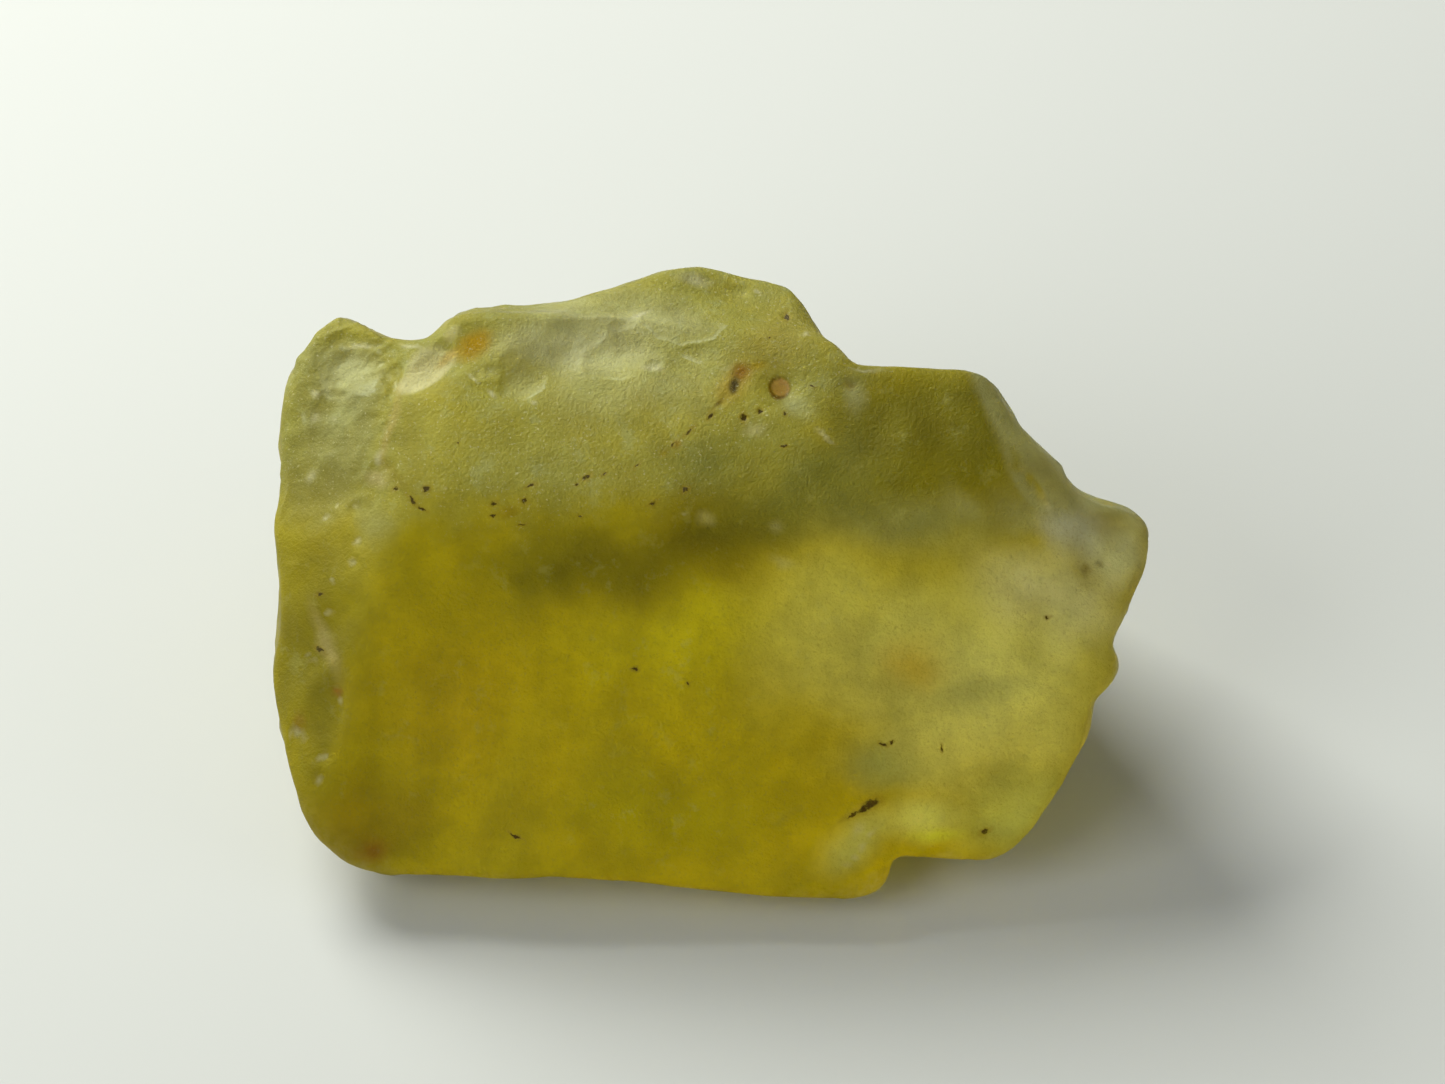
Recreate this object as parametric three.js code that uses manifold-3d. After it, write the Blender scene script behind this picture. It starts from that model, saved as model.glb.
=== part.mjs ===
// A raw piece of Libyan desert glass: one wind-worn chunk of natural yellow glass, 36 mm across.
//
// The chunk is a leaning slab with a lump grown over its upper left. Its best side is a broad smooth
// face that leans back from a low front edge. Above a soft brow the lump turns over to a nearly level,
// scarred crown. A smooth shoulder and a bevel finish the right end, a rough flank the left end. The
// back is broken in a few steep faces, and the piece rests on one flat fracture underneath.
//
// Frame: millimetres, +Z up, +X across the best side, which faces -Y. The origin is the middle of the
// bounding box, at the height of the surface that the piece rests on.
import * as THREE from "three";
import { mergeVertices } from "three/addons/utils/BufferGeometryUtils.js";
import { ImprovedNoise } from "three/addons/math/ImprovedNoise.js";
import Module from "manifold-3d";

// ---- Driving dimensions ----
const LEAN = THREE.MathUtils.degToRad(42); // the best side's normal rises this far above level
const SIT = new THREE.Vector3(0, -5.7, 12.1); // where the middle of the best side's plane lies
const MESH_DETAIL = 21; // 20 * (detail + 1)^2 triangles before the base is trimmed
const HALF_SIZE = new THREE.Vector3(18, 13, 8.5); // half extents that spread the mesh evenly
const HEART = new THREE.Vector3(0, -1, 8.2); // a point deep inside, which sees the whole surface
const WAVES = [
  { length: 6.5, height: 0.16 }, // broad waviness of the faces
  { length: 2.4, height: 0.05 }, // wind-worn unevenness
];

// ---- The best side's own plane: across (+X), up the lean, and out of it ----
const ACROSS = new THREE.Vector3(1, 0, 0);
const UP = new THREE.Vector3(0, Math.sin(LEAN), Math.cos(LEAN));
const OUT = new THREE.Vector3(0, -Math.cos(LEAN), Math.sin(LEAN));

function onBestSide(across, up, out = 0) {
  return SIT.clone().addScaledVector(ACROSS, across).addScaledVector(UP, up).addScaledVector(OUT, out);
}

// ---- Blends ----
function roundedMax(a, b, round) {
  const h = Math.max(round - Math.abs(a - b), 0) / round;
  return Math.max(a, b) + (h * h * round) / 4;
}

function roundedMin(a, b, round) {
  return -roundedMax(-a, -b, round);
}

function meet(distances, round) {
  return distances.reduce((a, b) => roundedMax(a, b, round));
}

// ---- Faces: each is a plane given as the distance outside it ----
function plane(point, normal) {
  const n = normal.clone().normalize();
  const offset = n.dot(point);
  return (p) => n.dot(p) - offset;
}

// A face seen on the best side, through a point, with its rise out of the plane per mm across and up.
function facet(across, up, out, riseAcross, riseUp) {
  const normal = OUT.clone().addScaledVector(ACROSS, -riseAcross).addScaledVector(UP, -riseUp);
  return plane(onBestSide(across, up, out), normal);
}

// A broken wall. Its compass is 0 for the back (+Y) and 90 for the right (+X); a negative tilt undercuts.
function heading(compass, tilt) {
  const [c, t] = [compass, tilt].map(THREE.MathUtils.degToRad);
  return new THREE.Vector3(Math.sin(c) * Math.cos(t), Math.cos(c) * Math.cos(t), Math.sin(t));
}

function wall(x, y, z, compass, tilt) {
  return plane(new THREE.Vector3(x, y, z), heading(compass, tilt));
}

const front = {
  faceLeft: facet(2, 1.5, 0, 0.05, 0.06),
  faceRight: facet(5, 1.5, 0.15, -0.15, 0.05),
  shoulder: facet(8, 2, -0.1, -0.04, -0.45),
  bevel: facet(13.1, 4.75, -1.5, -1.1, -0.98),
};
const lump = {
  brow: facet(-6, 3.5, 0.35, 0.04, -0.5),
  crown: facet(-4, 8, -1.9, 0.02, -0.98),
  rightFlank: facet(1, 5, -0.1, -0.26, -0.5),
  underBrowLeft: facet(-6, 2.6, 0.8, 0.12, 0.5),
  underBrowRight: facet(-6, 2.6, 0.8, -0.03, 0.5),
  back: wall(-1, 9.0, 17.3, -4, 17),
  backRight: wall(4.9, 5.3, 16.6, 62, 10),
};
const leftFlank = {
  low: facet(-13.3, 6.4, -1.0, 0.85, -0.15),
  high: facet(-14, 5, -0.5, 0.5, -0.75),
};
const slabBack = wall(8.5, 3.3, 16.6, 8, 30);
const backWalls = [wall(-16, 6.7, 16.4, -48, 16), wall(17.5, 0.8, 9.6, 58, -14), wall(0, 12.2, 5, 4, -34)];
const undercuts = [
  wall(2, -13.7, 1.35, 183, -76),
  wall(15.9, -8, 6.2, 106, -28),
  wall(-18.0, -8.7, 4.6, -96, -34),
  wall(12.5, -3, 1.8, 90, -66),
  wall(-14.6, 0, 1.8, -80, -68),
  wall(8, 8, 1.6, 30, -66),
  wall(-8, 8.6, 1.4, -14, -64),
  wall(0, 0, -0.4, 0, -90),
];

// ---- The outline across the best side, in mm across and up, anticlockwise from the left horn ----
const OUTLINE = [
  [-15.5, 10.7], [-16.2, 10.4], [-16.7, 9.9], [-17.2, 8.9], [-17.5, 7.2], [-17.7, 5.6], [-17.8, 3.5],
  [-17.8, 1.9], [-17.9, 0.2], [-18.0, -1.4], [-18.0, -3.4], [-17.8, -5.1], [-17.6, -6.5], [-17.3, -7.7],
  [-16.9, -9.2], [-16.7, -10.2], [-16.2, -11.1], [-15.1, -11.6], [-13.8, -11.7], [-10.7, -11.8],
  [-8.1, -11.8], [-6.4, -11.6], [-3.0, -12.0], [1.1, -12.8], [4.4, -14.5], [5.3, -14.8], [6.6, -13.3],
  [6.8, -12.1], [6.9, -11.5], [7.2, -11.0], [8.1, -10.9], [10.0, -11.1], [10.5, -11.1], [10.9, -11.7],
  [12.0, -11.9], [13.7, -11.1], [14.8, -10.0], [15.2, -8.5], [15.4, -6.8], [15.5, -5.6], [15.5, -4.7],
  [16.3, -3.9], [16.6, -3.3], [16.3, -2.4], [17.0, -0.8], [17.6, 0.7], [17.9, 1.9], [17.8, 2.5],
  [16.9, 3.0], [15.7, 3.4], [14.9, 3.9], [14.3, 4.8], [13.2, 5.9], [12.2, 7.0], [11.6, 8.1], [11.1, 8.9],
  [9.8, 8.9], [7.7, 9.0], [5.7, 8.9], [5.2, 9.7], [4.5, 10.7], [3.7, 11.8], [3.2, 12.3], [2.0, 12.4],
  [0.9, 12.7], [0.1, 13.1], [-0.9, 13.3], [-2.1, 13.0], [-3.6, 12.3], [-5.8, 11.6], [-7.9, 11.4],
  [-9.9, 11.3], [-10.5, 11.1], [-11.0, 10.6], [-11.6, 10.0], [-12.3, 9.9], [-13.2, 10.0], [-14.1, 10.3],
  [-14.8, 10.6],
];

// Signed distance from the outline's edge, positive outside it.
function outsideOutline(across, up) {
  let nearest = Infinity;
  let inside = false;
  OUTLINE.forEach(([ax, ay], i) => {
    const [bx, by] = OUTLINE[(i + 1) % OUTLINE.length];
    const [ex, ey, wx, wy] = [bx - ax, by - ay, across - ax, up - ay];
    const along = THREE.MathUtils.clamp((wx * ex + wy * ey) / (ex * ex + ey * ey), 0, 1);
    nearest = Math.min(nearest, Math.hypot(wx - ex * along, wy - ey * along));
    if (ay > up !== by > up && across < ax + (ex * wy) / ey) inside = !inside;
  });
  return inside ? -nearest : nearest;
}

// ---- The chunk without its scars ----
function chunk(p) {
  const fromSit = p.clone().sub(SIT);
  const slab = roundedMax(
    roundedMax(front.faceLeft(p), front.faceRight(p), 3),
    meet([front.shoulder(p), front.bevel(p), slabBack(p)], 0.9),
    1.8,
  );
  const lumpSides = Object.values(lump).map((side) => side(p));
  const grown = roundedMin(slab, meet(lumpSides, 1.6), 1.6);
  const flanked = roundedMax(grown, roundedMax(leftFlank.low(p), leftFlank.high(p), 1), 0.9);
  const broken = [...backWalls, ...undercuts].reduce((d, side) => roundedMax(d, side(p), 1.2), flanked);
  return roundedMax(broken, outsideOutline(fromSit.dot(ACROSS), fromSit.dot(UP)) - 0.3, 0.8);
}

// ---- Scars: shallow shell-like hollows, each sunk square to the skin ----
// The scar lies where a line of sight along look meets the skin. rim is its half width and half height.
const STEP = 0.02;
const FAR = 30;
const SLOPE_STEP = 0.05;

function surfaceAlong(solid, from, direction) {
  let travel = 0;
  while (travel < 2 * FAR) {
    const gap = solid(from.clone().addScaledVector(direction, travel));
    if (gap < STEP / 10) break;
    travel += Math.max(gap * 0.6, STEP / 2);
  }
  return from.clone().addScaledVector(direction, travel);
}

function slopeOf(solid, p) {
  const here = solid(p);
  const slope = new THREE.Vector3(
    solid(p.clone().setX(p.x + SLOPE_STEP)) - here,
    solid(p.clone().setY(p.y + SLOPE_STEP)) - here,
    solid(p.clone().setZ(p.z + SLOPE_STEP)) - here,
  ).divideScalar(SLOPE_STEP);
  return { here, slope };
}

function scar(at, look, rim, depth, turn = 0) {
  const toward = look.clone().normalize();
  const skin = surfaceAlong(chunk, at.clone().addScaledVector(toward, FAR), toward.clone().negate());
  const out = slopeOf(chunk, skin).slope.normalize();
  const sideways = new THREE.Vector3().crossVectors(new THREE.Vector3(0, 0, 1), out).normalize();
  const wide = sideways.applyAxisAngle(out, THREE.MathUtils.degToRad(turn));
  const tall = new THREE.Vector3().crossVectors(out, wide);
  const [rimWide, rimTall] = rim;
  const round = (rimTall * rimTall + depth * depth) / (2 * depth); // radius of the ball that cuts it
  const centre = skin.clone().addScaledVector(out, round - depth);
  return (p) => {
    const q = p.clone().sub(centre);
    const squeezed = Math.hypot((q.dot(wide) * rimTall) / rimWide, q.dot(tall), q.dot(out));
    return round - squeezed;
  };
}

function scarOnBestSide(across, up, rim, depth, turn) {
  return scar(onBestSide(across, up), OUT, rim, depth, turn);
}

const scars = [
  scarOnBestSide(-14.6, 9.3, [2.0, 0.9], 0.26, 40), // the left flank's hollows
  scarOnBestSide(-15.3, 6.6, [1.9, 1.1], 0.24, 35),
  scarOnBestSide(-16.5, 3.6, [1.3, 0.8], 0.16, 70),
  scarOnBestSide(-15.9, -1.9, [2.0, 0.8], 0.22, 75),
  scarOnBestSide(-16.2, -5.6, [1.5, 0.8], 0.18, 80),
  scarOnBestSide(-6.6, 9.2, [1.9, 1.2], 0.34, 35), // the crown's chips
  scarOnBestSide(-3.6, 10.3, [2.9, 1.2], 0.42, 10),
  scarOnBestSide(-8.9, 8.3, [1.3, 0.8], 0.26, -20),
  scarOnBestSide(-0.9, 9.9, [1.9, 1.5], 0.3, -35),
  scarOnBestSide(-10.9, 9.2, [2.3, 0.9], 0.42, 46), // the pale chip beside the saddle
  scarOnBestSide(1.2, 12.1, [1.7, 0.7], 0.26, -8),
  scarOnBestSide(2.8, 8.2, [0.6, 0.6], 0.3, 0), // the stained pit
  scarOnBestSide(6.3, 6.6, [2.2, 1.2], 0.2, 70), // the dip between the lump and the shoulder
  scarOnBestSide(9.6, -4.4, [3.2, 2.2], 0.17, 20), // low dimples of the smooth face
  scarOnBestSide(6.0, -8.0, [2.6, 1.7], 0.14, 10),
  scarOnBestSide(11.7, -8.6, [2.3, 1.5], 0.24, 55),
  scarOnBestSide(-6.5, -1.2, [3.8, 2.2], 0.18, -8),
  scarOnBestSide(-11.0, -7.5, [3.4, 2.4], 0.14, 15),
  scarOnBestSide(9.0, -10.6, [1.5, 0.7], 0.16, 5), // the lip of the notch
  scarOnBestSide(15.9, 0.9, [1.2, 0.9], 0.26, 70), // the right tip's chips
  scarOnBestSide(13.9, -1.4, [1.2, 0.7], 0.16, 60),
  scar(new THREE.Vector3(-6, 7.3, 9.6), heading(-12, 14), [6.5, 4.6], 1.2, 20), // the back's broken shells
  scar(new THREE.Vector3(3, 7.3, 11.6), heading(20, 24), [3.6, 3.0], 0.8, -35),
  scar(new THREE.Vector3(10, 5.3, 8.6), heading(30, 20), [5.0, 3.6], 1.0, 30),
  scar(new THREE.Vector3(-13, 5.3, 8.6), heading(-55, 10), [4.4, 3.0], 0.8, 60),
  scar(new THREE.Vector3(2, 8.3, 4.1), heading(2, -20), [4.5, 2.0], 0.6, 5),
  scar(new THREE.Vector3(15, -0.7, 7.6), heading(80, -8), [4.0, 2.4], 0.6, -40),
  scar(new THREE.Vector3(-16, -2.7, 7.6), heading(-92, 4), [3.6, 2.4], 0.4, 50),
  scar(new THREE.Vector3(-6, -10, 1.5), heading(184, -74), [4.0, 1.6], 0.4, 8), // under the front edge
];
const SCAR_RIM = 0.45; // how far a scar's edge is worn round

// ---- Waviness ----
const noise = new ImprovedNoise();

function waviness(p) {
  return WAVES.reduce((sum, { length, height }) => {
    const [x, y, z] = p.toArray().map((value) => value / length);
    return sum + height * noise.noise(x + 7.3, y + 1.9, z);
  }, 0);
}

function stone(p) {
  return scars.reduce((d, hollow) => roundedMax(d, hollow(p), SCAR_RIM), chunk(p)) + waviness(p);
}

// ---- The mesh: a fine ball drawn in to the surface, then evened out along it ----
const EVENING_ROUNDS = 14; // each lets the points slide a few times, then brings them to the surface
const SLIDES = 8;
const TURNS_LEFT = 20; // edges are turned until a round turns no more than this many
const BUSY = { at: onBestSide(-6, 9), reach: 8.5, pull: 4 }; // the scarred crown gets a finer mesh
const TURN_GAIN = 0.008; // an edge is turned when that brings its middle this much closer
const EASE = 0.3; // how strongly a point keeps its place when edges are made crisp

function settle(p) {
  const { here, slope } = slopeOf(stone, p);
  return p.addScaledVector(slope, -here / Math.max(slope.lengthSq(), 0.25));
}

// The move along the surface toward the middle of a point's neighbours, drawn by the far and busy ones.
function slideToward(p, around, normal) {
  const middle = new THREE.Vector3();
  let total = 0;
  around.forEach((q) => {
    const busy = Math.exp(-((q.distanceTo(BUSY.at) / BUSY.reach) ** 2));
    const weight = p.distanceTo(q) * (1 + BUSY.pull * busy);
    middle.addScaledVector(q, weight);
    total += weight;
  });
  return middle.divideScalar(total).sub(p).projectOnPlane(normal).multiplyScalar(0.6);
}

// Slide a point to where the planes of its neighbours meet, so that edges stay crisp between points.
function sharpen(p, around) {
  const sums = new THREE.Matrix3().set(EASE, 0, 0, 0, EASE, 0, 0, 0, EASE);
  const pull = new THREE.Vector3();
  around.forEach(({ at, normal: n }) => {
    const reach = n.dot(at.clone().sub(p));
    const row = [n.x, n.y, n.z];
    row.forEach((a, i) => row.forEach((b, j) => (sums.elements[3 * i + j] += a * b)));
    pull.addScaledVector(n, reach);
  });
  return p.clone().add(pull.applyMatrix3(sums.invert()).clampLength(0, 0.3));
}

// Turn the shared edge of two triangles wherever that lays the mesh closer to the surface.
function turnEdges(corners, points) {
  const key = (a, b) => a * points.length + b;
  const opposite = new Map();
  for (let i = 0; i < corners.length; i += 3) {
    [0, 1, 2].forEach((k) => {
      const [a, b, c] = [k, (k + 1) % 3, (k + 2) % 3].map((j) => corners[i + j]);
      opposite.set(key(a, b), [i, c]);
    });
  }
  const gap = (a, b) => Math.abs(stone(points[a].clone().lerp(points[b], 0.5)));
  const turned = new Set();
  for (const [edge, [left, c]] of opposite) {
    const [a, b] = [Math.floor(edge / points.length), edge % points.length];
    const [right, d] = opposite.get(key(b, a));
    const busy = turned.has(left) || turned.has(right) || opposite.has(key(c, d)) || opposite.has(key(d, c));
    if (a > b || busy || !squareEnough(points, [a, d, c], [d, b, c])) continue;
    if (gap(c, d) > gap(a, b) - TURN_GAIN) continue;
    corners.splice(left, 3, a, d, c);
    corners.splice(right, 3, d, b, c);
    turned.add(left).add(right);
  }
  return turned.size;
}

// Two triangles are sound when neither is a sliver and they don't fold over each other.
function squareEnough(points, ...triangles) {
  const normals = triangles.map((corners) => {
    const [a, b, c] = corners.map((v) => points[v]);
    const sides = [a.distanceTo(b), b.distanceTo(c), c.distanceTo(a)];
    const area = new THREE.Triangle(a, b, c).getArea();
    const sliver = area < 0.12 * Math.max(...sides) ** 2;
    return sliver ? new THREE.Vector3() : new THREE.Triangle(a, b, c).getNormal(new THREE.Vector3());
  });
  return normals[0].dot(normals[1]) > 0.3;
}

function neighboursOf(corners, count) {
  const sets = Array.from({ length: count }, () => new Set());
  for (let i = 0; i < corners.length; i += 3) {
    const triangle = corners.slice(i, i + 3);
    triangle.forEach((v, k) => sets[v].add(triangle[(k + 1) % 3]).add(triangle[(k + 2) % 3]));
  }
  return sets.map((set) => [...set]);
}

function skinMesh() {
  const ball = new THREE.IcosahedronGeometry(1, MESH_DETAIL);
  ball.deleteAttribute("normal");
  ball.deleteAttribute("uv");
  const geometry = mergeVertices(ball, 1e-5);
  const position = geometry.getAttribute("position");
  const points = Array.from({ length: position.count }, (_, i) => {
    const direction = new THREE.Vector3().fromBufferAttribute(position, i).multiply(HALF_SIZE).normalize();
    const start = HEART.clone().addScaledVector(direction, FAR);
    return surfaceAlong(stone, start, direction.negate());
  });
  const corners = Array.from(geometry.index.array);
  let neighbours = neighboursOf(corners, points.length);
  for (let round = 0; round < EVENING_ROUNDS; round++) {
    const normals = points.map((p) => slopeOf(stone, p).slope.normalize());
    for (let slide = 0; slide < SLIDES; slide++) {
      const moves = points.map((p, i) => slideToward(p, neighbours[i].map((n) => points[n]), normals[i]));
      moves.forEach((move, i) => points[i].add(move));
    }
    points.forEach(settle);
  }
  while (turnEdges(corners, points) > TURNS_LEFT);
  neighbours = neighboursOf(corners, points.length);
  const tangents = points.map((at) => ({ at, normal: slopeOf(stone, at).slope.normalize() }));
  const crisp = points.map((p, i) => sharpen(p, [i, ...neighbours[i]].map((n) => tangents[n])));
  crisp.forEach((p, i) => points[i].copy(p));
  points.forEach((p, i) => position.setXYZ(i, p.x, p.y, p.z));
  geometry.setIndex(corners);
  return geometry;
}

// ---- The flat it rests on, cut with a solid join so that it is one true plane ----
function toSolid(wasm, geometry) {
  const bare = geometry.index ? geometry : mergeVertices(geometry, 1e-5);
  return new wasm.Manifold(
    new wasm.Mesh({
      numProp: 3,
      vertProperties: new Float32Array(bare.getAttribute("position").array),
      triVerts: new Uint32Array(bare.index.array),
    }),
  );
}

function toGeometry(solid) {
  const mesh = solid.getMesh();
  const geometry = new THREE.BufferGeometry();
  geometry.setAttribute("position", new THREE.BufferAttribute(new Float32Array(mesh.vertProperties), 3));
  geometry.setIndex(new THREE.BufferAttribute(new Uint32Array(mesh.triVerts), 1));
  geometry.computeVertexNormals();
  return geometry;
}

async function restingStone() {
  const wasm = await Module();
  wasm.setup();
  const floor = new THREE.BoxGeometry(3 * FAR, 3 * FAR, FAR).translate(0, 0, -FAR / 2);
  floor.deleteAttribute("normal");
  floor.deleteAttribute("uv");
  const trimmed = toSolid(wasm, skinMesh()).subtract(toSolid(wasm, mergeVertices(floor)));
  const geometry = toGeometry(trimmed);
  geometry.computeBoundingBox();
  const middle = geometry.boundingBox.getCenter(new THREE.Vector3());
  return geometry.translate(-middle.x, -middle.y, 0);
}

const glass = new THREE.Mesh(
  await restingStone(),
  new THREE.MeshStandardMaterial({ color: 0xb3a52c, roughness: 0.45, metalness: 0 }),
);
glass.name = "desert_glass";

const piece = new THREE.Group();
piece.add(glass);

export default piece;
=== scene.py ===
# %% [markdown]
# # A raw piece of desert glass
#
# Desert glass is natural glass: sand that melted all at once and froze before it could crystallise. A
# raw piece is broken, then blasted by windblown sand for ages, so it is clear yellow glass inside a
# frosted skin. That is what this lesson builds: one broken chunk, its worn skin with every chip and
# pit, its few stains and specks, and a soft light that shows how the glass glows.
#
# The frame holds the finished solid in metres, +Z up. It stays where it is and gives us our shape.

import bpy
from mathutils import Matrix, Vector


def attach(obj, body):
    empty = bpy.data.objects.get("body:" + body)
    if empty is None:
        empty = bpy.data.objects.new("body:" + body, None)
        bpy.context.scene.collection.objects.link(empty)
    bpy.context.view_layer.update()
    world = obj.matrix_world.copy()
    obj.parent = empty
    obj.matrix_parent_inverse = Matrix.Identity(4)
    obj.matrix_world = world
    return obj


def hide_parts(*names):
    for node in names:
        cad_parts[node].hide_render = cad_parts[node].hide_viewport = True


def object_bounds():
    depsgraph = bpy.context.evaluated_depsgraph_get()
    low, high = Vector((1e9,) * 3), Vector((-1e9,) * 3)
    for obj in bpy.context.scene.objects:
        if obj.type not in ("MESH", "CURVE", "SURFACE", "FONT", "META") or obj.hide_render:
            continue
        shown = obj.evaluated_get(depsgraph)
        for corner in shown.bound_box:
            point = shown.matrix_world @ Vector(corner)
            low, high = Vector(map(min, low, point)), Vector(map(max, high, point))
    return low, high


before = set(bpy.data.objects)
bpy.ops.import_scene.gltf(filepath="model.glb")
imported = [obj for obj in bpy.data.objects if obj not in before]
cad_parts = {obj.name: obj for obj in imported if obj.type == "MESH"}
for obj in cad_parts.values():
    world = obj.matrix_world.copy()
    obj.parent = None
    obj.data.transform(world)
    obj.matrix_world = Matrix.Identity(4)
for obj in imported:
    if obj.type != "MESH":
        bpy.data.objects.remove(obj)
cad_box = [list(corner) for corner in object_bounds()]
print("solid's box, mm:", [[round(1000 * value, 2) for value in corner] for corner in cad_box])

# %% [markdown]
# ## The best side's own plane
#
# The stone lies with its best side leaning back, so that it faces a viewer who looks down on it. Every
# scar and stain below is placed on that side as a maker would point at it: so many millimetres across,
# and so many up the lean. Three directions at right angles turn such a place into a point in space.

# %% Across, up and out of the best side
import math

import bmesh
import bpy
from mathutils import Vector, noise

MM = 0.001
LEAN = math.radians(42)
SIT = Vector((0.0970, -5.5928, 12.1)) * MM  # where the middle of the best side lies
ACROSS = Vector((1, 0, 0))
UP = Vector((0, math.sin(LEAN), math.cos(LEAN)))
OUT = Vector((0, -math.cos(LEAN), math.sin(LEAN)))


def on_best_side(across, up, out=0.0):
    """A point given in millimetres across, up and out of the best side, as metres in the frame."""
    return SIT + (ACROSS * across + UP * up + OUT * out) * MM


def place_on_best_side(point):
    """The reverse: how far across, up and out a point is, in millimetres."""
    reach = (point - SIT) / MM
    return Vector((reach.dot(ACROSS), reach.dot(UP), reach.dot(OUT)))


print("middle of the best side, mm:", [round(value / MM, 1) for value in on_best_side(0, 0)])

# %% [markdown]
# ## A finer skin
#
# The solid's facets are most of a millimetre wide, which is coarse for a skin that light plays on. We
# work on a copy. Its loose triangles are merged and each is cut in four, with the new points pushed out
# to the curve of the skin. Every point then moves a little towards the middle of its neighbours, which
# rounds the facets off. Doing that twice gives sixteen small triangles for each big one. A Subdivision
# Surface modifier would be quicker to add, but on triangles it leaves a pattern.

# %% Copy the solid and refine it
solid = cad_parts["desert_glass"]
stone_mesh = solid.data.copy()
stone_mesh.name = "desert_glass_stone"
stone_mesh.materials.clear()
stone = bpy.data.objects.new("desert_glass_stone", stone_mesh)
bpy.context.scene.collection.objects.link(stone)

skin = bmesh.new()
skin.from_mesh(stone_mesh)
bmesh.ops.remove_doubles(skin, verts=skin.verts, dist=0.002 * MM)
FLAT = 0.004 * MM  # points lower than this lie on the flat that the stone rests on


def round_off(times, strength):
    """Move every point above the flat towards the middle of its neighbours."""
    movable = [vert for vert in skin.verts if vert.co.z > FLAT]
    for _ in range(times):
        bmesh.ops.smooth_vert(
            skin, verts=movable, factor=strength, use_axis_x=True, use_axis_y=True, use_axis_z=True
        )


for _ in range(2):
    bmesh.ops.subdivide_edges(skin, edges=skin.edges, cuts=1, smooth=1.0, use_grid_fill=True)
    round_off(1, 0.5)
print("refined skin:", len(skin.verts), "points,", len(skin.faces), "faces")

# %% [markdown]
# ## Finer still on the crown
#
# The crown and the flank beside it carry the finest chips. Only there, the triangles are cut once more,
# because cutting them everywhere would cost many triangles that show nothing.

# %% Cut the busy part once more
skin.normal_update()


def is_busy(vert):
    """Whether a point lies on the crown or the upper flank, and faces out of the best side."""
    place = place_on_best_side(vert.co)
    return vert.normal.dot(OUT) > 0 and -18 < place.x < 4 and 6.2 - 0.1 * place.x < place.y < 14


busy = [edge for edge in skin.edges if all(is_busy(vert) for vert in edge.verts)]
bmesh.ops.subdivide_edges(skin, edges=busy, cuts=1, use_grid_fill=True)
bmesh.ops.triangulate(skin, faces=skin.faces)
round_off(1, 0.4)
skin.normal_update()
print("busy part refined:", len(skin.verts), "points,", len(skin.faces), "faces")

# %% [markdown]
# ## The relief, as sums
#
# Each mark on the skin is a small sum that says how far a point sinks, in millimetres. A sum can be
# tried and corrected one mark at a time, and it works on a mesh of any fineness, where sculpting by
# hand would have to be done again. Two shapes serve for most of them: a bowl, which is a shallow
# dish with a crisp rim, and the distance to a path, for grooves and ledges.


# %% Bowls and paths on the best side
def bowl(place, across, up, wide, tall, turn=0.0):
    """1 in the middle of a dish, and 0 at its rim and beyond. wide and tall are its half sizes."""
    right = place.x - across
    rise = place.y - up
    cos, sin = math.cos(math.radians(turn)), math.sin(math.radians(turn))
    along = (right * cos + rise * sin) / wide
    over = (rise * cos - right * sin) / tall
    return max(0.0, 1 - along * along - over * over)


def to_path(place, *stations):
    """How far a point is from a path of straight runs, and how far along the path it lies, 0 to 1."""
    nearest, along = 1e9, 0.0
    for index, (start, end) in enumerate(zip(stations, stations[1:])):
        run = Vector((end[0] - start[0], end[1] - start[1]))
        reach = Vector((place.x - start[0], place.y - start[1]))
        share = min(1.0, max(0.0, reach.dot(run) / run.length_squared))
        distance = (reach - run * share).length
        if distance < nearest:
            nearest, along = distance, (index + share) / (len(stations) - 1)
    return nearest, along


def ramp(value, low, high):
    """0 below low, 1 above high, and a soft S between them."""
    share = min(1.0, max(0.0, (value - low) / (high - low)))
    return share * share * (3 - 2 * share)


print("a bowl from its middle to its rim:", [bowl(Vector((x, 0)), 0, 0, 1, 1) for x in (0, 0.5, 1)])

# %% [markdown]
# ## Sand-worn skin
#
# Nothing on such a stone is quite flat. Sand has left long low swells and, over them, a fine orange
# peel. Noise of two sizes gives both. The swell is kept under a tenth of a millimetre. The noise that
# gives whole vectors starts from a seed, which is set once here so that every run gives this stone.


# %% Swells and orange peel
noise.seed_set(5)


def worn(point):
    """The swell and the peel all over the stone, mm."""
    swell = noise.noise(point / 3.6) * 0.07
    peel = noise.noise(point / 1.1 + Vector((7, 3, 1))) * 0.018
    fine = noise.noise(point / 0.55 + Vector((2, 9, 4))) * 0.006
    return swell + peel + fine


print("a few depths of the worn skin, mm:", [round(worn(Vector((x, 0, 0))), 3) for x in range(4)])

# %% [markdown]
# ## The flank
#
# The left end is an older break, and it is the roughest part: short curved hollows, side by side, that
# run up to the right, with thin crooked ridges between them. Ridged noise is made for this. It is
# stretched along the run, and the place is bent with a second noise so that the ridges are crooked.


# %% Wrinkles and the flank's crease
def flank(place, point):
    """The crooked wrinkles of the left end, mm."""
    inside = ramp(-13.0 - place.x, -0.5, 0.9) * ramp(place.y, 1.2, 4.5)
    if inside == 0:
        return 0.0
    bend = noise.noise(point / 1.3) * 0.5
    along = (place.x * 0.78 + place.y * 0.62 + bend) / 1.5
    over = (place.y * 0.78 - place.x * 0.62 - bend) / 0.75
    ridge = 1 - abs(noise.noise(Vector((along, over, place.z * 0.4)))) * 2.6
    small = 1 - abs(noise.noise(Vector((along * 2.1, over * 1.9, place.z + 5)))) * 2.4
    depth = 0.13 * (1 - max(0.0, ridge)) + 0.06 * (1 - max(0.0, small))
    return -inside * depth


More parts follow.
